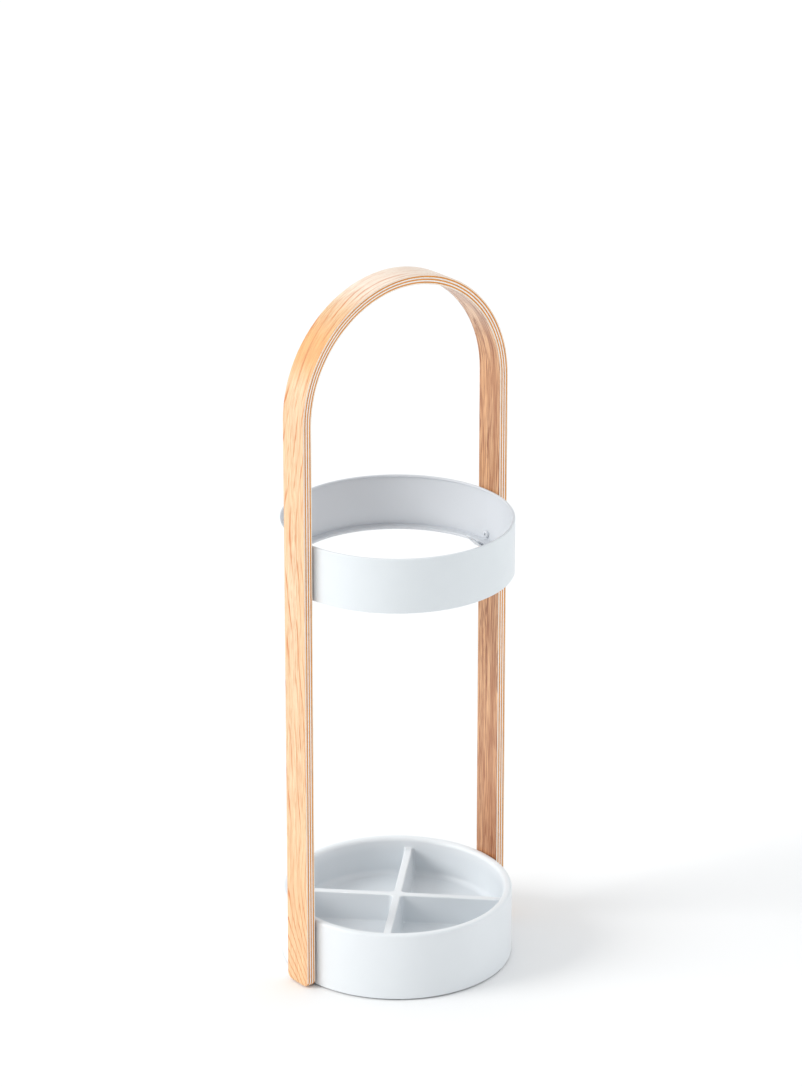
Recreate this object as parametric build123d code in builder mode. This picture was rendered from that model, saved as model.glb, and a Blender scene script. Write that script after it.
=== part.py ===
from build123d import *
import math
import os

# An umbrella stand. A laminated wooden arch stands on its two straight legs. A steel band
# and a moulded tray, both round and of one radius, are screwed between the legs.
# Millimetres, +Z up. The origin is on the floor under the middle of the tray, X runs from
# leg to leg and Y across the width of the arch.

# ---------------------------------------------------------------- driving dimensions
body_radius = 115.0          # outside of the steel band and of the tray
leg_clearance = 1.2          # from a leg's inner face to the band and the tray
foot_height = 1.5            # how far the rubber feet lift everything else

ply_names = [
    "arch_inner_face_veneer",
    "arch_core_veneer_1",
    "arch_core_veneer_2",
    "arch_core_veneer_3",
    "arch_core_veneer_4",
    "arch_core_veneer_5",
    "arch_outer_face_veneer",
]
ply_thickness = 1.4
arch_width = 32.0
arch_centre_height = 589.0   # centre of the half circle at the top
leg_corner_radius = 6.0
edge_ease = 0.5              # softened long edges of the two face veneers

band_bottom = 411.5
band_height = 55.5
band_wall = 1.5
band_bead_radius = 1.4       # rolled top edge
flange_reach = 9.8           # bottom flange, from the outside of the band
flange_thickness = 3.0       # the sheet folded back on itself
flange_edge_round = 1.4
flange_outer_bend = 2.4
flange_inner_bend = 2.0

hook_width = 12.0
hook_thickness = leg_clearance
hook_top = band_bottom + 18.0
hook_bottom = band_bottom - 2.4
hook_flange_gap = 1.4        # from the flange's inner edge to the foot of the hook's arm
hook_tip_rise = 14.2         # the arm rises at 45 degrees
hook_bend_radius = 2.2
hook_tip_round = 5.5
hook_top_round = 3.0

tray_top = 71.2
tray_wall_top_radius = 106.6
tray_wall_floor_radius = 105.4
tray_skin = 2.8
tray_floor_top = 31.5
tray_corner_radius = 6.5     # inside, where the wall meets the floor
rim_outer_round = 3.0
rim_inner_round = 4.2
divider_top = 60.5
divider_top_width = 7.4
divider_draft = 5.5          # degrees
divider_top_round = 1.3
divider_corner_radius = 5.0  # where the two dividers cross
divider_root_round = 2.0     # where the dividers meet the floor and the wall
divider_bury = 1.4           # how deep the dividers' ends run into the floor and the wall
skirt_foot_round = 0.8
rim_hidden_round = 1.2       # inside the hollow rim

ring_screw_height = band_bottom + 8.5
ring_screw_radius = 2.0
ring_head_radius = 3.8
ring_head_height = 2.2
ring_screw_length = 10.0
ring_insert_radius = 3.0
ring_head_gap = 0.1          # under a flat head on the curved band

tray_screw_height = 15.5
tray_screw_spacing = 18.0
tray_screw_radius = 2.5
tray_head_radius = 4.75
tray_head_height = 2.75
tray_screw_length = 14.0
tray_insert_radius = 3.5

screw_point_chamfer = 0.4
socket_share = 0.62          # of a shank's radius: half the width of the hexagon socket
socket_depth_share = 0.55    # of a head's height
crown_round_share = 0.8      # of a head's height

insert_length = 8.0
insert_groove = 0.8
insert_plies = 6             # veneers that an insert is sunk into
running_gap = 0.05           # between a screw and its insert
hole_clearance = 0.3         # between a screw and a plain hole
cut_margin = 1.0             # how far a cut runs past the surface that it cuts

spacer_width = 24.0
spacer_height = 22.0
spacer_depth = 3.0
spacer_corner_round = 3.0
leg_boss_width = 34.0
leg_boss_height = 21.0
leg_boss_middle = 17.0
leg_boss_depth = 5.5         # from the outside of the tray to the boss's flat face

ballast_radius = 92.0
ballast_thickness = 12.0
ballast_screw_circle = 60.0
ballast_screw_radius = 2.5
ballast_screw_length = 24.0
ballast_chamfer = 1.5
pad_thickness = 1.5
pad_hole_clearance = 1.5

cover_radius = 111.6
cover_thickness = 2.5
cover_bottom = 3.5
cover_boss_circle = 101.0
cover_boss_radius = 4.5
cover_screw_radius = 1.9
cover_screw_length = 12.0
cover_screw_point = 2.0
cover_head_radius = 3.8
cross_slot_length = 3.0
cross_slot_width = 0.7
cross_slot_depth = 0.9

rubber_foot_radius = 9.0
rubber_foot_circle = 94.0
rubber_foot_chamfer = 0.5

# ---------------------------------------------------------------- derived dimensions
arch_inner_radius = body_radius + leg_clearance
arch_outer_radius = arch_inner_radius + len(ply_names) * ply_thickness
band_top = band_bottom + band_height
band_inner_radius = body_radius - band_wall
tray_bottom = foot_height
tray_floor_bottom = tray_floor_top - tray_skin
skirt_inner_radius = body_radius - tray_skin
leg_boss_face = body_radius - leg_boss_depth
leg_boss_back = skirt_inner_radius + cut_margin
cover_top = cover_bottom + cover_thickness
hook_arm_foot = body_radius - flange_reach - hook_flange_gap
ballast_top = tray_floor_bottom - pad_thickness
ballast_bottom = ballast_top - ballast_thickness
diagonals = [45.0, 135.0, 225.0, 315.0]
tray_screw_points = [
    (-tray_screw_spacing / 2, tray_screw_height),
    (tray_screw_spacing / 2, tray_screw_height),
]

os.makedirs("parts", exist_ok=True)


def write(part, name):
    """Label one finished piece and write it to its own file."""
    part.label = name
    export_step(part, f"parts/{name}.step")


def diagonal_points(radius):
    """The four points at 45 degrees to the arch on a circle of this radius."""
    return [
        (radius * math.cos(math.radians(angle)), radius * math.sin(math.radians(angle)))
        for angle in diagonals
    ]


def is_arm_end(edge):
    """True for the short edges at the buried ends of the dividers."""
    middle = edge.center()
    return math.hypot(middle.X, middle.Y) > body_radius - 1


# ---------------------------------------------------------------- the laminated arch
def make_veneer(index):
    """One bent veneer: two straight legs and a half circle."""
    inner = arch_inner_radius + index * ply_thickness
    outer = inner + ply_thickness
    with BuildPart() as veneer:
        with BuildSketch(Plane.XZ):
            with BuildLine():
                Line((-outer, foot_height), (-outer, arch_centre_height))
                ThreePointArc(
                    (-outer, arch_centre_height),
                    (0, arch_centre_height + outer),
                    (outer, arch_centre_height),
                )
                Line((outer, arch_centre_height), (outer, foot_height))
                Line((outer, foot_height), (inner, foot_height))
                Line((inner, foot_height), (inner, arch_centre_height))
                ThreePointArc(
                    (inner, arch_centre_height),
                    (0, arch_centre_height + inner),
                    (-inner, arch_centre_height),
                )
                Line((-inner, arch_centre_height), (-inner, foot_height))
                Line((-inner, foot_height), (-outer, foot_height))
            make_face()
        extrude(amount=arch_width / 2, both=True)
        fillet(veneer.edges().filter_by(Axis.X), radius=leg_corner_radius)
        if index == 0:
            upright = veneer.edges().filter_by(Axis.Z)
            fillet(upright.filter_by(lambda e: abs(e.center().X) < inner + 0.1), radius=edge_ease)
        if index == len(ply_names) - 1:
            upright = veneer.edges().filter_by(Axis.Z)
            fillet(upright.filter_by(lambda e: abs(e.center().X) > outer - 0.1), radius=edge_ease)
        if index < insert_plies:
            with BuildSketch(Plane.YZ):
                with Locations((0, ring_screw_height)):
                    Circle(ring_insert_radius)
                with Locations(*tray_screw_points):
                    Circle(tray_insert_radius)
            extrude(amount=outer + cut_margin, both=True, mode=Mode.SUBTRACT)
    return veneer.part


for ply_index, ply_name in enumerate(ply_names):
    write(make_veneer(ply_index), ply_name)

# ---------------------------------------------------------------- the steel band
with BuildPart() as ring_band:
    with BuildSketch(Plane.XZ) as band_section:
        with BuildLine():
            Polyline(
                (body_radius, band_bottom),
                (body_radius, band_top - band_bead_radius),
                (band_inner_radius, band_top - band_bead_radius),
                (band_inner_radius, band_bottom + flange_thickness),
                (body_radius - flange_reach, band_bottom + flange_thickness),
                (body_radius - flange_reach, band_bottom),
                close=True,
            )
        make_face()
        corners = band_section.vertices()
        flange_end = corners.group_by(Axis.X)[0]
        outer_corner = corners.group_by(Axis.Y)[0].sort_by(Axis.X)[-1]
        inner_corner = corners.group_by(Axis.Y)[1].sort_by(Axis.X)[-1]
        fillet(flange_end, radius=flange_edge_round)
        fillet(outer_corner, radius=flange_outer_bend)
        fillet(inner_corner, radius=flange_inner_bend)
        with Locations((body_radius - band_bead_radius, band_top - band_bead_radius)):
            Circle(band_bead_radius)
    revolve(axis=Axis.Z)
    with BuildSketch(Plane.YZ):
        with Locations((0, ring_screw_height)):
            Circle(ring_screw_radius + hole_clearance)
    extrude(amount=body_radius + cut_margin, both=True, mode=Mode.SUBTRACT)
write(ring_band.part, "ring_band")

# ---------------------------------------------------------------- the two hooks
# Each hook is a strip held between a leg and the band. It passes under the band's flange
# and rises at 45 degrees inside the ring.
with BuildPart() as hook_right:
    with BuildSketch(Plane.XZ):
        with BuildLine():
            hook_line = FilletPolyline(
                (arch_inner_radius, hook_top),
                (arch_inner_radius, hook_bottom),
                (hook_arm_foot, hook_bottom),
                (hook_arm_foot - hook_tip_rise, hook_bottom + hook_tip_rise),
                radius=hook_bend_radius,
            )
            offset(hook_line, amount=hook_thickness, side=Side.RIGHT, closed=True)
        make_face()
    extrude(amount=hook_width / 2, both=True)
    tip_corners = hook_right.edges().filter_by(
        lambda e: abs(e.length - hook_thickness) < 0.01
        and e.center().X < hook_arm_foot - hook_tip_rise / 2
    )
    fillet(tip_corners, radius=hook_tip_round)
    fillet(hook_right.edges().filter_by(Axis.X).group_by(Axis.Z)[-1], radius=hook_top_round)
    with BuildSketch(Plane.YZ):
        with Locations((0, ring_screw_height)):
            Circle(ring_screw_radius + hole_clearance)
    extrude(amount=arch_outer_radius, mode=Mode.SUBTRACT)
write(hook_right.part, "hook_right")

with BuildPart() as hook_left:
    add(hook_right.part)
    mirror(about=Plane.YZ, mode=Mode.REPLACE)
write(hook_left.part, "hook_left")

# ---------------------------------------------------------------- the tray
# The cross of dividers, wider towards its root. The ends are buried in the tray's wall.
with BuildPart() as divider_cross:
    with BuildSketch(Plane.XY.offset(divider_top)) as divider_plan:
        Rectangle(2 * body_radius, divider_top_width, rotation=45)
        Rectangle(2 * body_radius, divider_top_width, rotation=135)
        crossing = divider_plan.vertices().filter_by(lambda v: Vector(v).length < divider_top_width)
        fillet(crossing, radius=divider_corner_radius)
    extrude(amount=tray_floor_bottom - divider_top, taper=-divider_draft)
    top_outline = divider_cross.faces().sort_by(Axis.Z)[-1].edges()
    fillet(top_outline.filter_by(lambda e: not is_arm_end(e)), radius=divider_top_round)
    with BuildSketch(Plane.XZ) as cavity_section:
        with BuildLine():
            Polyline(
                (0, tray_floor_top - divider_bury),
                (tray_wall_floor_radius + divider_bury, tray_floor_top - divider_bury),
                (tray_wall_top_radius + divider_bury, tray_top),
                (0, tray_top),
                close=True,
            )
        make_face()
        floor_corner = cavity_section.vertices().group_by(Axis.Y)[0].sort_by(Axis.X)[-1]
        fillet(floor_corner, radius=tray_corner_radius + divider_bury)
    revolve(axis=Axis.Z, mode=Mode.INTERSECT)

with BuildPart() as tray:
    with BuildSketch(Plane.XZ) as tray_section:
        with BuildLine():
            Polyline(
                (0, tray_floor_top),
                (tray_wall_floor_radius, tray_floor_top),
                (tray_wall_top_radius, tray_top),
                (body_radius, tray_top),
                (body_radius, tray_bottom),
                (skirt_inner_radius, tray_bottom),
                (skirt_inner_radius, tray_top - tray_skin),
                (tray_wall_top_radius + tray_skin, tray_top - tray_skin),
                (tray_wall_floor_radius + tray_skin, tray_floor_bottom),
                (0, tray_floor_bottom),
                close=True,
            )
        make_face()
        for corner_point, corner_round in (
            ((tray_wall_floor_radius, tray_floor_top), tray_corner_radius),
            ((tray_wall_top_radius, tray_top), rim_inner_round),
            ((body_radius, tray_top), rim_outer_round),
            ((body_radius, tray_bottom), skirt_foot_round),
            ((skirt_inner_radius, tray_top - tray_skin), rim_hidden_round),
            ((tray_wall_top_radius + tray_skin, tray_top - tray_skin), rim_hidden_round),
            ((tray_wall_floor_radius + tray_skin, tray_floor_bottom), tray_corner_radius + tray_skin),
        ):
            at_corner = Vector(*corner_point)
            fillet(
                tray_section.vertices().filter_by(lambda v: (Vector(v) - at_corner).length < 0.01),
                radius=corner_round,
            )
    revolve(axis=Axis.Z)
    add(divider_cross.part)
    fillet(tray.edges(Select.NEW), radius=divider_root_round)
    # Flat lands inside the skirt for the heads of the leg screws.
    for side in (-1, 1):
        with Locations((side * (leg_boss_face + leg_boss_back) / 2, 0, leg_boss_middle)):
            Box(leg_boss_back - leg_boss_face, leg_boss_width, leg_boss_height)
    # Bosses for the screws of the bottom cover, hidden under the roots of the dividers.
    with BuildSketch(Plane.XY.offset(cover_top)):
        with Locations(*diagonal_points(cover_boss_circle)):
            Circle(cover_boss_radius)
    extrude(amount=tray_floor_top + divider_bury - cover_top)
    with BuildSketch(Plane.XY.offset(cover_top)):
        with Locations(*diagonal_points(cover_boss_circle)):
            Circle(cover_screw_radius + running_gap)
    extrude(amount=cover_screw_length, mode=Mode.SUBTRACT)
    with BuildSketch(Plane.XY.offset(tray_floor_bottom)):
        with Locations(*diagonal_points(ballast_screw_circle)):
            Circle(ballast_screw_radius + running_gap)
    extrude(amount=ballast_screw_length - ballast_thickness, mode=Mode.SUBTRACT)
    with BuildSketch(Plane.YZ):
        with Locations(*tray_screw_points):
            Circle(tray_screw_radius + hole_clearance)
    extrude(amount=body_radius + cut_margin, both=True, mode=Mode.SUBTRACT)
write(tray.part, "tray")

# ---------------------------------------------------------------- spacers between tray and legs
with BuildPart() as tray_spacer_right:
    with Locations((arch_inner_radius - spacer_depth / 2, 0, tray_screw_height)):
        Box(spacer_depth, spacer_width, spacer_height)
    fillet(tray_spacer_right.edges().filter_by(Axis.X), radius=spacer_corner_round)
    Cylinder(body_radius, 4 * spacer_height, mode=Mode.SUBTRACT)
    with BuildSketch(Plane.YZ):
        with Locations(*tray_screw_points):
            Circle(tray_screw_radius + hole_clearance)
    extrude(amount=arch_outer_radius, mode=Mode.SUBTRACT)
write(tray_spacer_right.part, "tray_spacer_right")

with BuildPart() as tray_spacer_left:
    add(tray_spacer_right.part)
    mirror(about=Plane.YZ, mode=Mode.REPLACE)
write(tray_spacer_left.part, "tray_spacer_left")


# ---------------------------------------------------------------- screws and inserts
def make_screw(shank_radius, length, head_radius, head_height):
    """A domed socket screw: the head's underside on the XY plane, the shank along +Z."""
    with BuildPart() as screw:
        with BuildSketch(Plane.XY):
            Circle(shank_radius)
        extrude(amount=length)
        chamfer(screw.faces().sort_by(Axis.Z)[-1].edges(), length=screw_point_chamfer)
        with BuildSketch(Plane.XY):
            Circle(head_radius)
        extrude(amount=-head_height)
        crown = screw.faces().sort_by(Axis.Z)[0]
        fillet(crown.edges(), radius=crown_round_share * head_height)
        with BuildSketch(Plane.XY.offset(-head_height)):
            RegularPolygon(socket_share * shank_radius, 6, major_radius=False)
        extrude(amount=socket_depth_share * head_height, mode=Mode.SUBTRACT)
    return screw.part


def make_insert(outside_radius, bore_radius):
    """A threaded insert with two grip grooves: its mouth on the XY plane, its body along +Z."""
    with BuildPart() as insert:
        with BuildSketch(Plane.XY):
            Circle(outside_radius)
            Circle(bore_radius, mode=Mode.SUBTRACT)
        extrude(amount=insert_length)
        with BuildSketch(Plane.XZ):
            with Locations((outside_radius, insert_length / 3), (outside_radius, 2 * insert_length / 3)):
                Rectangle(insert_groove, insert_groove)
        revolve(axis=Axis.Z, mode=Mode.SUBTRACT)
    return insert.part


def outward_planes(distance, points):
    """Planes facing out along +X and -X at this distance, one for each (y, z) point and side."""
    return [
        Plane(origin=(side * distance, y, z), x_dir=(0, 1, 0), z_dir=(side, 0, 0))
        for side in (-1, 1)
        for y, z in points
    ]


def upward_planes(height, points):
    """Planes facing up at this height, one for each (x, y) point."""
    return [Plane(origin=(x, y, height)) for x, y in points]


def place_copies(piece, planes, name):
    """Write a group of identical pieces, one on each plane."""
    with BuildPart() as group:
        with Locations(*planes):
            add(piece)
    write(group.part, name)


place_copies(
    make_screw(ring_screw_radius, ring_screw_length, ring_head_radius, ring_head_height),
    outward_planes(band_inner_radius - ring_head_gap, [(0, ring_screw_height)]),
    "ring_screws",
)
place_copies(
    make_insert(ring_insert_radius, ring_screw_radius + running_gap),
    outward_planes(arch_inner_radius, [(0, ring_screw_height)]),
    "ring_inserts",
)
place_copies(
    make_screw(tray_screw_radius, tray_screw_length, tray_head_radius, tray_head_height),
    outward_planes(leg_boss_face, tray_screw_points),
    "tray_screws",
)
place_copies(
    make_insert(tray_insert_radius, tray_screw_radius + running_gap),
    outward_planes(arch_inner_radius, tray_screw_points),
    "tray_inserts",
)

# ---------------------------------------------------------------- ballast under the tray's floor
with BuildPart() as damping_pad:
    with BuildSketch(Plane.XY.offset(ballast_top)):
        Circle(ballast_radius)
        with Locations(*diagonal_points(ballast_screw_circle)):
            Circle(ballast_screw_radius + pad_hole_clearance, mode=Mode.SUBTRACT)
    extrude(amount=pad_thickness)
write(damping_pad.part, "damping_pad")

with BuildPart() as ballast_plate:
    with BuildSketch(Plane.XY.offset(ballast_bottom)):
        Circle(ballast_radius)
        with Locations(*diagonal_points(ballast_screw_circle)):
            Circle(ballast_screw_radius + hole_clearance, mode=Mode.SUBTRACT)
    extrude(amount=ballast_thickness)
    rims = ballast_plate.edges().filter_by(lambda e: abs(e.length - math.tau * ballast_radius) < 1)
    chamfer(rims, length=ballast_chamfer)
write(ballast_plate.part, "ballast_plate")

place_copies(
    make_screw(ballast_screw_radius, ballast_screw_length, tray_head_radius, tray_head_height),
    upward_planes(ballast_bottom, diagonal_points(ballast_screw_circle)),
    "ballast_screws",
)

# ---------------------------------------------------------------- bottom cover and feet
with BuildPart() as bottom_cover:
    with BuildSketch(Plane.XY.offset(cover_bottom)):
        Circle(cover_radius)
    extrude(amount=cover_thickness)
    with Locations(*[(x, y, cover_bottom) for x, y in diagonal_points(cover_boss_circle)]):
        with Locations(Rotation(180, 0, 0)):
            CounterSinkHole(
                radius=cover_screw_radius + hole_clearance,
                counter_sink_radius=cover_head_radius,
                depth=cover_thickness,
                counter_sink_angle=90,
            )
write(bottom_cover.part, "bottom_cover")

with BuildPart() as cover_screw:
    with BuildSketch(Plane.XZ):
        with BuildLine():
            Polyline(
                (0, 0),
                (cover_head_radius - hole_clearance, 0),
                (cover_screw_radius, cover_head_radius - hole_clearance - cover_screw_radius),
                (cover_screw_radius, cover_screw_length - cover_screw_point),
                (0, cover_screw_length),
                close=True,
            )
        make_face()
    revolve(axis=Axis.Z)
    with BuildSketch(Plane.XY):
        Rectangle(cross_slot_length, cross_slot_width)
        Rectangle(cross_slot_width, cross_slot_length)
    extrude(amount=cross_slot_depth, mode=Mode.SUBTRACT)
place_copies(
    cover_screw.part,
    upward_planes(cover_bottom, diagonal_points(cover_boss_circle)),
    "cover_screws",
)

foot_places = {
    "rubber_foot_right": (rubber_foot_circle, 0),
    "rubber_foot_back": (0, rubber_foot_circle),
    "rubber_foot_left": (-rubber_foot_circle, 0),
    "rubber_foot_front": (0, -rubber_foot_circle),
}
for foot_name, foot_place in foot_places.items():
    with BuildPart() as rubber_foot:
        with BuildSketch(Plane.XY):
            with Locations(foot_place):
                Circle(rubber_foot_radius)
        extrude(amount=cover_bottom)
        chamfer(rubber_foot.faces().sort_by(Axis.Z)[0].edges(), length=rubber_foot_chamfer)
    write(rubber_foot.part, foot_name)
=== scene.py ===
import math

import bpy
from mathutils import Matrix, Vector


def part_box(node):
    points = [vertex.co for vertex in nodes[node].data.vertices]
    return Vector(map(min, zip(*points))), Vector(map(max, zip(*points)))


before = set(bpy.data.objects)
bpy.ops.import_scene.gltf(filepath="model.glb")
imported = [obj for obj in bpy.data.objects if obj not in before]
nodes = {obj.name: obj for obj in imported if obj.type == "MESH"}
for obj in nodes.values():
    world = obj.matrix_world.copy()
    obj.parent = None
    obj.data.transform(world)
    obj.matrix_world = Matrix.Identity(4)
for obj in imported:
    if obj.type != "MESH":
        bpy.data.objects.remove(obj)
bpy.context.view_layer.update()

MM = 0.001

# ---------------------------------------------------------------- sizes read from the frame
arch_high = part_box("arch_outer_face_veneer")[1]
inner_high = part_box("arch_inner_face_veneer")[1]
band_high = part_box("ring_band")[1]
tray_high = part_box("tray")[1]

ARCH_OUTER_RADIUS = arch_high.x
ARCH_CENTRE_HEIGHT = arch_high.z - ARCH_OUTER_RADIUS
PLY_THICKNESS = arch_high.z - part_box("arch_core_veneer_5")[1].z
ARCH_INNER_RADIUS = inner_high.x - PLY_THICKNESS
# The veneers' faces turn into the arch's cut edge between these two distances from its middle plane.
EDGE_BAND = (arch_high.y - 0.45 * MM, arch_high.y - 0.15 * MM)
# How high the marks of the feet reach: slanting grain, strong lines, and a deeper tone.
RUN_OUT_HEIGHT = 0.15
FOOT_HEIGHT = 0.20
FOOT_TONE_HEIGHT = 0.40
FOOT_TONE_SHARE = 0.8
# Heights over which the shoulders deepen, the shoulders fade again, and the crown is paled by a painted
# highlight.
SHOULDER_LOW = ARCH_CENTRE_HEIGHT + 0.035
SHOULDER_HIGH = ARCH_CENTRE_HEIGHT + 0.065
SHOULDER_FADE_LOW = arch_high.z - 0.050
SHOULDER_FADE_HIGH = arch_high.z - 0.012
SHOULDER_TONE_SHARE = 0.95
CROWN_LOW = arch_high.z - 0.024
CROWN_HIGH = arch_high.z - 0.002
CROWN_HIGHLIGHT_SHARE = 0.9
CROWN_HIGHLIGHT_VEIL_SHARE = 0.2
# The painted shade on the inside of the ring band begins here, within its thickness.
BAND_MIDDLE_RADIUS = band_high.y - 1.0 * MM
BAND_BLEND = 0.3 * MM
TRAY_RADIUS = tray_high.y
# The flat tops of the tray's dividers, and the heights over which the painted shade inside the tray
# ends below them.
DIVIDER_TOP = tray_high.z - 10.7 * MM
DIVIDER_FADE_LOW = DIVIDER_TOP - 1.6 * MM
DIVIDER_FADE_HIGH = DIVIDER_TOP - 0.3 * MM
# Where the tray's painted inside shade begins on the rim, how it fades in below the rim, and where the
# wall is.
RIM_SHADE_INNER = TRAY_RADIUS - 2.4 * MM
RIM_SHADE_OUTER = TRAY_RADIUS - 1.2 * MM
RIM_FADE_LOW = tray_high.z - 16.0 * MM
RIM_FADE_HIGH = tray_high.z - 1.0 * MM
WALL_START_INNER = TRAY_RADIUS - 17.0 * MM
WALL_START_OUTER = TRAY_RADIUS - 14.0 * MM

# ---------------------------------------------------------------- camera, floor and light settings
FLOOR_HALF_WIDTH = 40.0
CAMERA_AZIMUTH = math.radians(-38.63)
CAMERA_ELEVATION = math.radians(19.82)
CAMERA_DISTANCE = 4.176
AIM_RIGHT = 0.0038
AIM_HEIGHT = 0.573
LENS_LENGTH = 143.65
SENSOR_WIDTH = 36.0
SHIFT_DOWN = 0.1197

# Strength of the surround in each direction.
FRONT_GLOW = 0.18
SIDE_GLOW = 0.95
OVERHEAD_GLOW = 0.62
BACK_GLOW = 0.35
GLOW_COLOUR = (0.965, 0.985, 1.0, 1.0)
# Level directions in the plan, seen from the camera: to its right, and straight ahead.
TO_RIGHT = (0.781, -0.624, 0.0)
AHEAD = (0.624, 0.781, 0.0)

KEY_DIRECTION = (-0.86, 0.36, 0.50)
KEY_STRENGTH = 1.6
KEY_WIDTH = 28.0
KEY_COLOUR = (1.0, 0.99, 0.97)


# ---------------------------------------------------------------- camera, floor and light
def add_camera():
    """A long lens from the front left, looking down at the stand."""
    back = Vector((
        math.sin(CAMERA_AZIMUTH) * math.cos(CAMERA_ELEVATION),
        -math.cos(CAMERA_AZIMUTH) * math.cos(CAMERA_ELEVATION),
        math.sin(CAMERA_ELEVATION),
    ))
    right = Vector((math.cos(CAMERA_AZIMUTH), math.sin(CAMERA_AZIMUTH), 0.0))
    target = right * AIM_RIGHT + Vector((0.0, 0.0, AIM_HEIGHT))
    data = bpy.data.cameras.new("camera")
    data.lens = LENS_LENGTH
    data.sensor_width = SENSOR_WIDTH
    data.sensor_fit = "AUTO"
    data.shift_y = -SHIFT_DOWN
    data.clip_end = 100.0
    data.dof.use_dof = False
    camera = bpy.data.objects.new("camera", data)
    bpy.context.scene.collection.objects.link(camera)
    camera.rotation_mode = "QUATERNION"
    camera.rotation_quaternion = back.to_track_quat("Z", "Y")
    camera.location = target + back * CAMERA_DISTANCE
    bpy.context.scene.camera = camera


def add_soft_sun(name, direction, strength, width, colour):
    """A distant soft light. The direction points to it, and its width is an angle in degrees."""
    data = bpy.data.lights.new(name, "SUN")
    data.energy = strength
    data.angle = math.radians(width)
    data.color = colour
    light = bpy.data.objects.new(name, data)
    bpy.context.scene.collection.objects.link(light)
    light.rotation_mode = "QUATERNION"
    light.rotation_quaternion = Vector(direction).normalized().to_track_quat("Z", "Y")


def add_world():
    """A white studio: brightest to both sides, softer overhead and behind, and dim in front."""
    world = bpy.data.worlds.new("studio")
    world.use_nodes = True
    tree = world.node_tree
    background = tree.nodes["Background"]

    def node(kind, *values, **settings):
        made = tree.nodes.new(kind)
        for key, value in settings.items():
            setattr(made, key, value)
        for socket, value in zip(made.inputs, values):
            if isinstance(value, bpy.types.NodeSocket):
                tree.links.new(value, socket)
            else:
                socket.default_value = value
        return made

    def toward(direction):
        place = tree.nodes.new("ShaderNodeTexCoord").outputs["Generated"]
        unit = Vector(direction).normalized()
        dot = node("ShaderNodeVectorMath", place, tuple(unit), operation="DOT_PRODUCT")
        return dot.outputs["Value"]

    sides = node("ShaderNodeMath", toward(TO_RIGHT), 2.0, operation="POWER").outputs[0]
    up = node("ShaderNodeMath", toward((0.0, 0.0, 1.0)), 0.0, operation="MAXIMUM").outputs[0]
    behind = node("ShaderNodeMath", toward(AHEAD), 0.0, operation="MAXIMUM").outputs[0]
    level = node("ShaderNodeMath", sides, SIDE_GLOW, FRONT_GLOW, operation="MULTIPLY_ADD").outputs[0]
    level = node("ShaderNodeMath", up, OVERHEAD_GLOW, level, operation="MULTIPLY_ADD").outputs[0]
    level = node("ShaderNodeMath", behind, BACK_GLOW, level, operation="MULTIPLY_ADD").outputs[0]
    background.inputs["Color"].default_value = GLOW_COLOUR
    tree.links.new(level, background.inputs["Strength"])
    bpy.context.scene.world = world
    bpy.context.scene.view_settings.view_transform = "Standard"
    bpy.context.scene.view_settings.look = "None"


# ---------------------------------------------------------------- material building
# Nearly all of a noise's values lie between these.
NOISE_SPREAD = (0.3, 0.7)


def linear(red, green, blue):
    """A display colour in 0 to 255 as the linear colour that the shader takes."""
    def channel(value):
        value /= 255.0
        return value / 12.92 if value <= 0.04045 else ((value + 0.055) / 1.055) ** 2.4

    return (channel(red), channel(green), channel(blue), 1.0)


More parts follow.
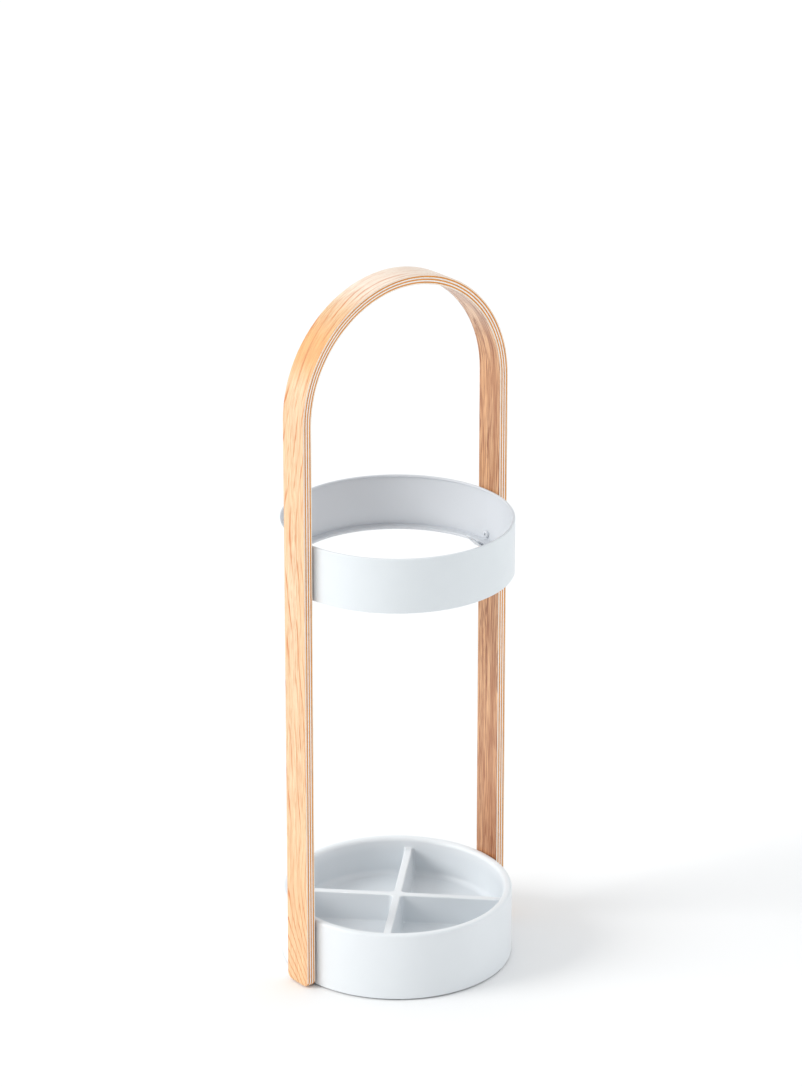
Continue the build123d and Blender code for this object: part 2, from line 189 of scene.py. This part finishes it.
class Graph:
    """One material's nodes, with a short call for each kind that is used here."""

    def __init__(self, name):
        self.material = bpy.data.materials.new(name)
        self.material.use_nodes = True
        self.tree = self.material.node_tree
        self.shader = self.tree.nodes["Principled BSDF"]
        self.position = self.add("ShaderNodeTexCoord").outputs["Object"]

    def add(self, kind, **settings):
        node = self.tree.nodes.new(kind)
        for key, value in settings.items():
            setattr(node, key, value)
        return node

    def feed(self, socket, value):
        """Link an output, or set a plain value."""
        if isinstance(value, bpy.types.NodeSocket):
            self.tree.links.new(value, socket)
        else:
            socket.default_value = value

    def math(self, operation, *values):
        node = self.add("ShaderNodeMath", operation=operation)
        for socket, value in zip(node.inputs, values):
            self.feed(socket, value)
        return node.outputs[0]

    def split(self, vector):
        node = self.add("ShaderNodeSeparateXYZ")
        self.feed(node.inputs[0], vector)
        return node.outputs

    def join(self, x, y, z):
        node = self.add("ShaderNodeCombineXYZ")
        for socket, value in zip(node.inputs, (x, y, z)):
            self.feed(socket, value)
        return node.outputs[0]

    def stretch(self, vector, x, y, z):
        """The vector times three constants, which are counts per metre."""
        node = self.add("ShaderNodeVectorMath", operation="MULTIPLY")
        self.feed(node.inputs[0], vector)
        node.inputs[1].default_value = (x, y, z)
        return node.outputs[0]

    def noise(self, vector, scale, detail=2.0, roughness=0.5):
        node = self.add("ShaderNodeTexNoise", normalize=True)
        self.feed(node.inputs["Vector"], vector)
        self.feed(node.inputs["Scale"], scale)
        self.feed(node.inputs["Detail"], detail)
        self.feed(node.inputs["Roughness"], roughness)
        return node.outputs["Fac"]

    def cells(self, vector, scale):
        node = self.add("ShaderNodeTexVoronoi", feature="F1")
        self.feed(node.inputs["Vector"], vector)
        self.feed(node.inputs["Scale"], scale)
        return node.outputs["Distance"]

    def remap(self, value, low, high, to_low=0.0, to_high=1.0, kind="SMOOTHSTEP"):
        node = self.add("ShaderNodeMapRange", interpolation_type=kind)
        self.feed(node.inputs["Value"], value)
        self.feed(node.inputs["From Min"], low)
        self.feed(node.inputs["From Max"], high)
        self.feed(node.inputs["To Min"], to_low)
        self.feed(node.inputs["To Max"], to_high)
        return node.outputs["Result"]

    def mix(self, share, first, second):
        """Two colours, the second in this share."""
        node = self.add("ShaderNodeMix", data_type="RGBA", blend_type="MIX")
        self.feed(node.inputs[0], share)
        self.feed(node.inputs[6], first)
        self.feed(node.inputs[7], second)
        return node.outputs[2]

    def between(self, share, tones):
        """From the first display colour to the second, in this share."""
        first, second = tones
        return self.mix(share, linear(*first), linear(*second))

    def bump(self, height, depth, under=None):
        """A bump of this depth in metres, laid over another bump's normal if one is given."""
        node = self.add("ShaderNodeBump")
        node.inputs["Strength"].default_value = 1.0
        node.inputs["Distance"].default_value = depth
        self.feed(node.inputs["Height"], height)
        if under is not None:
            self.feed(node.inputs["Normal"], under)
        return node.outputs["Normal"]

    def finish(self, colour, roughness, normal, **settings):
        """Wire the surface, and set what is the same all over on the shader itself."""
        self.feed(self.shader.inputs["Base Color"], colour)
        self.feed(self.shader.inputs["Roughness"], roughness)
        self.feed(self.shader.inputs["Normal"], normal)
        for key, value in settings.items():
            self.shader.inputs[key.replace("_", " ")].default_value = value
        return self.material


# ---------------------------------------------------------------- wood
def grain_space(graph, seed):
    """Coordinates that follow the bent wood: along the arch, across its width, and out from its middle.

    Each veneer gets its own stretch of grain, moved along by the seed.
    """
    x, y, z = graph.split(graph.position)
    above = graph.math("MAXIMUM", graph.math("SUBTRACT", z, ARCH_CENTRE_HEIGHT), 0.0)
    below = graph.math("MAXIMUM", graph.math("SUBTRACT", ARCH_CENTRE_HEIGHT, z), 0.0)
    turn = graph.math("ARCTAN2", above, graph.math("MULTIPLY", x, -1.0))
    leg = graph.math("MULTIPLY", graph.math("SIGN", x), below)
    along = graph.math("MULTIPLY_ADD", turn, ARCH_OUTER_RADIUS, leg)
    squares = graph.math("MULTIPLY_ADD", x, x, graph.math("MULTIPLY", above, above))
    out = graph.math("SQRT", squares)
    return graph.math("ADD", along, seed), y, out


def growth_reach(graph, along, across, out, grain):
    """The distance from the pith on a plane sliced beside it. Its even steps are the grain's lines.

    The pith wanders sideways and in depth along the veneer, and the slice runs out at the feet.
    """
    wander = graph.noise(graph.join(along, 0.0, 0.0), 5.0, detail=2.0)
    drift = graph.noise(graph.join(along, 7.0, 0.0), 3.0, detail=1.0)
    swing = grain["wander"]
    side = graph.math("SUBTRACT", across, grain["pith_side"] - swing / 2)
    side = graph.math("MULTIPLY_ADD", wander, -swing, side)
    depth = graph.math("MULTIPLY_ADD", drift, grain["taper"], grain["pith_depth"])
    depth = graph.math("ADD", depth, graph.math("SUBTRACT", out, ARCH_INNER_RADIUS))
    squares = graph.math("MULTIPLY_ADD", side, side, graph.math("MULTIPLY", depth, depth))
    reach = graph.math("SQRT", squares)
    ripple_along = graph.math("MULTIPLY", along, 18.0)
    ripple_across = graph.math("MULTIPLY", across, 150.0)
    ripple = graph.noise(graph.join(ripple_along, ripple_across, 0.0), 1.0, detail=3.0)
    reach = graph.math("MULTIPLY_ADD", ripple, grain["ripple"], reach)
    height = graph.split(graph.position)[2]
    to_top = graph.remap(height, 0.0, RUN_OUT_HEIGHT, 1.0, 0.0, kind="LINEAR")
    run_out = graph.math("MULTIPLY", to_top, to_top)
    return graph.math("MULTIPLY_ADD", run_out, -grain["run_out"], reach)


def streaks(graph, place, lengthwise, sideways, detail=3.0, shift=0.0):
    """Noise drawn out along the grain, in lumps per metre each way."""
    along, across, out = place
    vector = graph.join(
        graph.math("MULTIPLY_ADD", along, lengthwise, shift),
        graph.math("MULTIPLY", across, sideways),
        graph.math("MULTIPLY", out, sideways),
    )
    return graph.noise(vector, 1.0, detail=detail, roughness=0.6)


def late_wood(graph, place, height, grain):
    """The dark late wood of the growth lines, which comes in patches and is everywhere at the feet."""
    reach = growth_reach(graph, *place, grain)
    ring = graph.math("FRACT", graph.math("MULTIPLY", reach, 1.0 / grain["ring_spacing"]))
    rise = graph.remap(ring, grain["late_start"], 0.88)
    late = graph.math("MULTIPLY", rise, graph.remap(ring, 0.92, 1.0, 1.0, 0.0))
    patch = streaks(graph, place, 14.0, 160.0, detail=1.0, shift=9.0)
    faintest = graph.remap(height, 0.0, FOOT_HEIGHT, 0.8, 0.08)
    return graph.math("MULTIPLY", late, graph.remap(patch, 0.40, 0.62, faintest, 1.0))


def pores(graph, place, grain):
    """Short dark pores, gathered in loose fields."""
    pore = streaks(graph, place, *grain["pore_rates"], detail=1.0, shift=4.0)
    field = streaks(graph, place, 5.0, 100.0, detail=2.0, shift=2.0)
    return graph.math("MULTIPLY", graph.remap(pore, 0.54, 0.64), graph.remap(field, 0.38, 0.60))


def glue_lines(graph, out, ply, on_edge):
    """The thin glue lines on the cut edge, at both faces of the veneer."""
    depth = graph.math("SUBTRACT", out, ARCH_INNER_RADIUS + ply * PLY_THICKNESS)
    to_glue = graph.math("PINGPONG", depth, PLY_THICKNESS / 2)
    return graph.math("MULTIPLY", on_edge, graph.remap(to_glue, 0.02 * MM, 0.08 * MM, 0.6, 0.0))


def height_shares(graph, height):
    """How far the feet, the shoulders and the crown take their own tones. The crown's pale tone is a
    painted highlight.
    """
    toward_foot = graph.remap(height, 0.0, FOOT_TONE_HEIGHT, FOOT_TONE_SHARE, 0.0)
    deepened = graph.remap(height, SHOULDER_LOW, SHOULDER_HIGH)
    fading = graph.remap(height, SHOULDER_FADE_LOW, SHOULDER_FADE_HIGH, SHOULDER_TONE_SHARE, 0.0)
    crown_highlight = graph.remap(height, CROWN_LOW, CROWN_HIGH, 0.0, CROWN_HIGHLIGHT_SHARE)
    return toward_foot, graph.math("MULTIPLY", deepened, fading), crown_highlight


def heart_stripe(graph, along, across, middle, half_width, share):
    """The share of the darker heart, a stripe that strays to either side along the veneer."""
    stray = graph.noise(graph.join(along, 13.0, 0.0), 9.0, detail=2.0)
    from_middle = graph.math("SUBTRACT", across, middle + half_width / 2)
    from_middle = graph.math("MULTIPLY_ADD", stray, half_width, from_middle)
    from_middle = graph.math("ABSOLUTE", from_middle)
    return graph.remap(from_middle, 0.2 * half_width, half_width, share, 0.0)


def wood_material(name, tones, ply, grain, edge_and_highlight_tone=None, height_tones=None, heart=None,
                  crosswise=False, coat=0.6, gloss=0.5):
    """Lacquered veneer: growth rings, reeds of fibre, pores, slow clouds, and glue at its faces.

    The tones run from the palest to the pores. The ply counts from the arch's inner face.
    The grain says how the veneer was sliced, in metres, and how strongly each mark shows. Its rates
    are lumps of noise per metre, along the grain and across it.
    The height tones are for the feet, for the arch's shoulders, where the colour deepens, and for
    its crown, which a painted highlight pales.
    The heart is a darker stripe along the veneer: its middle, half its width, and its share.
    """
    pale, tan, line_tone, pore_tone = (linear(*tone) for tone in tones)
    graph = Graph(name)
    along, across, out = grain_space(graph, grain["seed"])
    if crosswise:
        along, across = across, along
    place = along, across, out
    height = graph.split(graph.position)[2]
    late = late_wood(graph, place, height, grain)
    cloud = streaks(graph, place, 6.0, 45.0, detail=2.0)
    reed = streaks(graph, place, *grain["reed_rates"], detail=2.0)
    dash = streaks(graph, place, *grain["dash_rates"], detail=2.0, shift=6.0)
    fibre = streaks(graph, place, 45.0, 1700.0)
    pore = pores(graph, place, grain)

    colour = graph.mix(graph.remap(cloud, *NOISE_SPREAD), pale, tan)
    if height_tones is not None:
        foot_tone, shoulder_tone, crown_highlight_tone = (linear(*tone) for tone in height_tones)
        toward_foot, at_shoulder, crown_highlight = height_shares(graph, height)
        colour = graph.mix(toward_foot, colour, foot_tone)
        colour = graph.mix(at_shoulder, colour, shoulder_tone)
        # Painted highlight: the crown is paled toward a near-white tone, standing in for the sheen at
        # the arch's top.
        colour = graph.mix(crown_highlight, colour, crown_highlight_tone)
    if heart is not None:
        colour = graph.mix(heart_stripe(graph, along, across, *heart), colour, line_tone)
    colour = graph.mix(graph.remap(reed, 0.46, 0.66, 0.0, grain["reed_share"]), colour, line_tone)
    colour = graph.mix(graph.remap(dash, 0.46, 0.60, 0.0, grain["dash_share"]), colour, line_tone)
    colour = graph.mix(graph.math("MULTIPLY", late, grain["ring_share"]), colour, line_tone)
    colour = graph.mix(graph.remap(fibre, 0.40, 0.70, 0.0, 0.35), colour, line_tone)
    colour = graph.mix(graph.math("MULTIPLY", pore, grain["pore_share"]), colour, pore_tone)
    if height_tones is not None:
        # The crown's painted highlight veils the grain a little too.
        colour = graph.mix(graph.math("MULTIPLY", crown_highlight, CROWN_HIGHLIGHT_VEIL_SHARE), colour, crown_highlight_tone)

    on_edge = graph.remap(graph.math("ABSOLUTE", graph.split(graph.position)[1]), *EDGE_BAND)
    # The face veneers' cut edges take a pale tone: partly the ply's own edge colour, partly a painted
    # highlight along the eased corner.
    if edge_and_highlight_tone is not None:
        edge_colour = graph.mix(graph.remap(fibre, 0.40, 0.75, 0.0, 0.4), linear(*edge_and_highlight_tone), tan)
        colour = graph.mix(on_edge, colour, edge_colour)
    colour = graph.mix(glue_lines(graph, out, ply, on_edge), colour, pore_tone)

    rough = graph.remap(fibre, *NOISE_SPREAD, 0.42, 0.52)
    rough = graph.math("MULTIPLY_ADD", pore, 0.15, rough)
    normal = graph.bump(late, 0.03 * MM)
    normal = graph.bump(graph.math("ADD", fibre, reed), 0.04 * MM, normal)
    normal = graph.bump(graph.math("SUBTRACT", 1.0, pore), 0.10 * MM, normal)
    lacquer = dict(Coat_Weight=coat, Coat_Roughness=0.25, Specular_IOR_Level=gloss)
    return graph.finish(colour, rough, normal, **lacquer)


# The dash rates that all but the inner face veneer share.
FINE_DASHES = (55.0, 1150.0)
# The cut edges of the core veneers are barely lacquered.
CORE_FINISH = dict(coat=0.1, gloss=0.25)


def outer_veneer(name):
    tones = (236, 215, 178), (233, 206, 163), (206, 116, 46), (196, 128, 74)
    grain = dict(
        seed=0.0, pith_side=0.034, pith_depth=0.012, taper=0.060, wander=0.026,
        ripple=2.6 * MM, run_out=0.030, ring_spacing=4.2 * MM, late_start=0.66, ring_share=0.9,
        reed_rates=(16.0, 900.0), reed_share=0.34, dash_rates=FINE_DASHES, dash_share=0.22,
        pore_rates=(70.0, 900.0), pore_share=0.3,
    )
    # The crown tone, the last of these, is a painted highlight on the arch's top.
    height_tones = (233, 200, 150), (230, 177, 108), (255, 246, 230)
    edge_and_highlight_tone = (248, 230, 214)
    return wood_material(name, tones, 6, grain, edge_and_highlight_tone, height_tones)


def inner_veneer(name):
    tones = (234, 188, 142), (222, 166, 116), (144, 78, 34), (128, 68, 30)
    grain = dict(
        seed=3.7, pith_side=-0.030, pith_depth=0.016, taper=0.035, wander=0.015,
        ripple=2.4 * MM, run_out=0.0, ring_spacing=6.0 * MM, late_start=0.40, ring_share=0.30,
        reed_rates=(11.0, 560.0), reed_share=0.5, dash_rates=(26.0, 1000.0), dash_share=0.75,
        pore_rates=(50.0, 640.0), pore_share=0.7,
    )
    # Here the foot tone is painted shade, darkening the lower inner face, and the crown tone a painted
    # highlight.
    height_tones = (204, 148, 106), (246, 208, 170), (255, 246, 236)
    heart = (-7.0 * MM, 5.0 * MM, 0.35)
    edge_and_highlight_tone = (255, 246, 232)
    return wood_material(name, tones, 0, grain, edge_and_highlight_tone, height_tones, heart)


def core_grain(ply, **own):
    """What the grain of the core veneers has in common, with each kind's own values added."""
    return dict(
        seed=1.3 * ply, pith_depth=0.030, taper=0.030, wander=0.030, ripple=2.2 * MM, run_out=0.0,
        late_start=0.4, reed_rates=(12.0, 560.0), dash_rates=FINE_DASHES, dash_share=0.2,
        pore_rates=(150.0, 1500.0), **own,
    )


def brown_core(name, ply):
    tones = (242, 162, 60), (234, 152, 50), (208, 124, 42), (150, 88, 38)
    grain = core_grain(
        ply, pith_side=0.004, ring_spacing=1.9 * MM, ring_share=0.4, reed_share=0.3, pore_share=0.5,
    )
    return wood_material(name, tones, ply, grain, crosswise=True, **CORE_FINISH)


def light_core(name, ply):
    tones = (255, 254, 251), (255, 252, 247), (250, 238, 224), (226, 196, 168)
    grain = core_grain(
        ply, pith_side=-0.006, ring_spacing=2.2 * MM, ring_share=0.25, reed_share=0.2, pore_share=0.3,
    )
    return wood_material(name, tones, ply, grain, **CORE_FINISH)


# ---------------------------------------------------------------- metal, plastic and rubber
# Tones as display colours. A pair is what a noise goes between.
COAT_TONES = (226, 231, 234), (230, 235, 238)
COAT_SPECKLE = (211, 216, 220)
# Painted shade for the inside of the ring band.
COAT_PAINTED_SHADE = (207, 211, 216)
TRAY_TONES = (229, 233, 236), (233, 237, 240)
# Painted shade for the inside of the tray.
TRAY_PAINTED_SHADE = (220, 225, 229)
HIDDEN_PLASTIC_TONES = (150, 153, 157), (160, 163, 167)
RUBBER_TONES = (38, 38, 40), (58, 58, 60)
ZINC_TONES = (196, 198, 200), (170, 172, 176)
BRASS_TONES = (214, 178, 104), (184, 142, 78)
IRON_PAINT = (62, 62, 64)
IRON_RUST = (104, 72, 52)
FLOOR_TONES = (246, 246, 246), (247, 247, 247)


def axis_distance(graph):
    """The distance from the stand's upright axis."""
    x, y = graph.split(graph.position)[:2]
    return graph.math("SQRT", graph.math("MULTIPLY_ADD", x, x, graph.math("MULTIPLY", y, y)))


def powder_coat(name):
    """White powder coat on steel: a soft orange-peel skin with fine speckle.

    Everything inside the ring band's middle radius is darker: painted shade for the inside of the ring.
    """
    graph = Graph(name)
    peel = graph.noise(graph.position, 850.0, detail=2.0, roughness=0.45)
    speckle = graph.noise(graph.position, 4200.0, detail=1.0)
    cloud = graph.noise(graph.position, 14.0, detail=3.0)
    colour = graph.between(graph.remap(cloud, *NOISE_SPREAD), COAT_TONES)
    colour = graph.mix(graph.remap(speckle, 0.62, 0.8, 0.0, 0.25), colour, linear(*COAT_SPECKLE))
    radius = axis_distance(graph)
    blend = BAND_MIDDLE_RADIUS - BAND_BLEND, BAND_MIDDLE_RADIUS + BAND_BLEND
    # Painted shade: the inside of the band, with its hooks and screws, is darkened to a greyer tone.
    inside = graph.remap(radius, *blend, 1.0, 0.0)
    colour = graph.mix(inside, colour, linear(*COAT_PAINTED_SHADE))
    rough = graph.remap(peel, *NOISE_SPREAD, 0.40, 0.48)
    normal = graph.bump(peel, 0.05 * MM)
    normal = graph.bump(speckle, 0.008 * MM, normal)
    return graph.finish(colour, rough, normal)


def tray_shade_share(graph):
    """The share of painted shade: one inside the tray below the dividers' tops, and fading in down the
    wall under the rim.
    """
    radius = axis_distance(graph)
    z = graph.split(graph.position)[2]
    within_wall = graph.remap(radius, RIM_SHADE_INNER, RIM_SHADE_OUTER, 1.0, 0.0)
    down_wall = graph.remap(z, RIM_FADE_LOW, RIM_FADE_HIGH, 1.0, 0.0)
    on_wall = graph.remap(radius, WALL_START_INNER, WALL_START_OUTER)
    down_divider = graph.remap(z, DIVIDER_FADE_LOW, DIVIDER_FADE_HIGH, 1.0, 0.0)
    wall_extra = graph.math("SUBTRACT", down_wall, down_divider)
    depth = graph.math("MULTIPLY_ADD", wall_extra, on_wall, down_divider)
    return graph.math("MULTIPLY", within_wall, depth)


def moulded_plastic(name, tones, painted_shade_tone=None):
    """Injection-moulded plastic with a fine spark-eroded texture and faint flow clouds.

    A tone given for the inside of the tray darkens it there: painted shade.
    """
    graph = Graph(name)
    grain = graph.noise(graph.position, 3000.0, detail=2.0, roughness=0.55)
    cloud = graph.noise(graph.position, 11.0, detail=3.0, roughness=0.5)
    scuff_place = graph.stretch(graph.position, 60.0, 60.0, 420.0)
    scuff = graph.noise(scuff_place, 1.0, detail=4.0, roughness=0.65)
    colour = graph.between(graph.remap(cloud, *NOISE_SPREAD), tones)
    if painted_shade_tone is not None:
        # Painted shade: the inside of the tray is darkened below its rim and the dividers' tops.
        colour = graph.mix(tray_shade_share(graph), colour, linear(*painted_shade_tone))
    rough = graph.remap(scuff, 0.35, 0.75, 0.36, 0.46)
    normal = graph.bump(grain, 0.012 * MM)
    normal = graph.bump(cloud, 0.05 * MM, normal)
    return graph.finish(colour, rough, normal)


def rubber(name):
    graph = Graph(name)
    grain = graph.noise(graph.position, 1800.0, detail=3.0, roughness=0.6)
    bloom = graph.noise(graph.position, 90.0, detail=3.0)
    colour = graph.between(graph.remap(bloom, 0.35, 0.7), RUBBER_TONES)
    normal = graph.bump(grain, 0.05 * MM)
    return graph.finish(colour, graph.remap(grain, *NOISE_SPREAD, 0.70, 0.85), normal)


def plated_steel(name):
    """Bright zinc plate with a faint spangle and rub marks."""
    graph = Graph(name)
    spangle = graph.cells(graph.position, 900.0)
    rub = graph.noise(graph.stretch(graph.position, 300.0, 2500.0, 2500.0), 1.0, detail=3.0)
    colour = graph.between(graph.remap(spangle, 0.0, 0.8), ZINC_TONES)
    rough = graph.remap(rub, *NOISE_SPREAD, 0.24, 0.40)
    return graph.finish(colour, rough, graph.bump(rub, 0.01 * MM), Metallic=1.0)


def turned_brass(name):
    graph = Graph(name)
    knurl = graph.noise(graph.stretch(graph.position, 120.0, 2600.0, 2600.0), 1.0, detail=1.0)
    tarnish = graph.noise(graph.position, 500.0, detail=3.0)
    colour = graph.between(graph.remap(tarnish, 0.35, 0.7), BRASS_TONES)
    rough = graph.remap(tarnish, *NOISE_SPREAD, 0.28, 0.42)
    return graph.finish(colour, rough, graph.bump(knurl, 0.12 * MM), Metallic=1.0)


def cast_iron(name):
    """Painted cast iron: coarse sand texture, with rust showing where the paint is thin."""
    graph = Graph(name)
    sand = graph.noise(graph.position, 700.0, detail=4.0, roughness=0.6)
    patch = graph.noise(graph.position, 60.0, detail=4.0, roughness=0.6)
    rust = graph.remap(patch, 0.62, 0.75, 0.0, 0.6)
    colour = graph.mix(rust, linear(*IRON_PAINT), linear(*IRON_RUST))
    return graph.finish(colour, graph.remap(sand, *NOISE_SPREAD, 0.6, 0.8), graph.bump(sand, 0.25 * MM))


def floor_material(name):
    """Pale matt paper."""
    graph = Graph(name)
    tooth = graph.noise(graph.position, 900.0, detail=2.0)
    cloud = graph.noise(graph.position, 1.3, detail=2.0)
    colour = graph.between(graph.remap(cloud, *NOISE_SPREAD), FLOOR_TONES)
    return graph.finish(colour, 0.9, graph.bump(tooth, 0.02 * MM))


def add_floor():
    """A pale floor that runs past the picture on every side."""
    half = FLOOR_HALF_WIDTH
    mesh = bpy.data.meshes.new("floor")
    mesh.from_pydata(
        [(-half, -half, 0), (half, -half, 0), (half, half, 0), (-half, half, 0)],
        [],
        [(0, 1, 2, 3)],
    )
    floor = bpy.data.objects.new("floor", mesh)
    bpy.context.scene.collection.objects.link(floor)
    floor.data.materials.append(floor_material("floor paper"))


# ---------------------------------------------------------------- finishes on the pieces
def paint(material, *names):
    """Give CAD pieces this material."""
    for name in names:
        for holder in nodes[name].material_slots:
            holder.material = material


def paint_pieces():
    paint(outer_veneer("outer face veneer"), "arch_outer_face_veneer")
    paint(inner_veneer("inner face veneer"), "arch_inner_face_veneer")
    for index in (1, 3, 5):
        paint(brown_core(f"brown veneer {index}", index), f"arch_core_veneer_{index}")
    for index in (2, 4):
        paint(light_core(f"light veneer {index}", index), f"arch_core_veneer_{index}")
    paint(powder_coat("white powder coat"), "ring_band", "hook_left", "hook_right", "ring_screws")
    paint(moulded_plastic("white plastic", TRAY_TONES, TRAY_PAINTED_SHADE), "tray")
    hidden_plastic = moulded_plastic("grey plastic", HIDDEN_PLASTIC_TONES)
    paint(hidden_plastic, "tray_spacer_left", "tray_spacer_right", "bottom_cover")
    paint(plated_steel("zinc plate"), "tray_screws", "ballast_screws", "cover_screws")
    paint(turned_brass("brass"), "ring_inserts", "tray_inserts")
    paint(cast_iron("cast iron"), "ballast_plate")
    paint(
        rubber("rubber"), "damping_pad",
        "rubber_foot_left", "rubber_foot_right", "rubber_foot_front", "rubber_foot_back",
    )


add_camera()
add_world()
add_floor()
add_soft_sun("key", KEY_DIRECTION, KEY_STRENGTH, KEY_WIDTH, KEY_COLOUR)
paint_pieces()
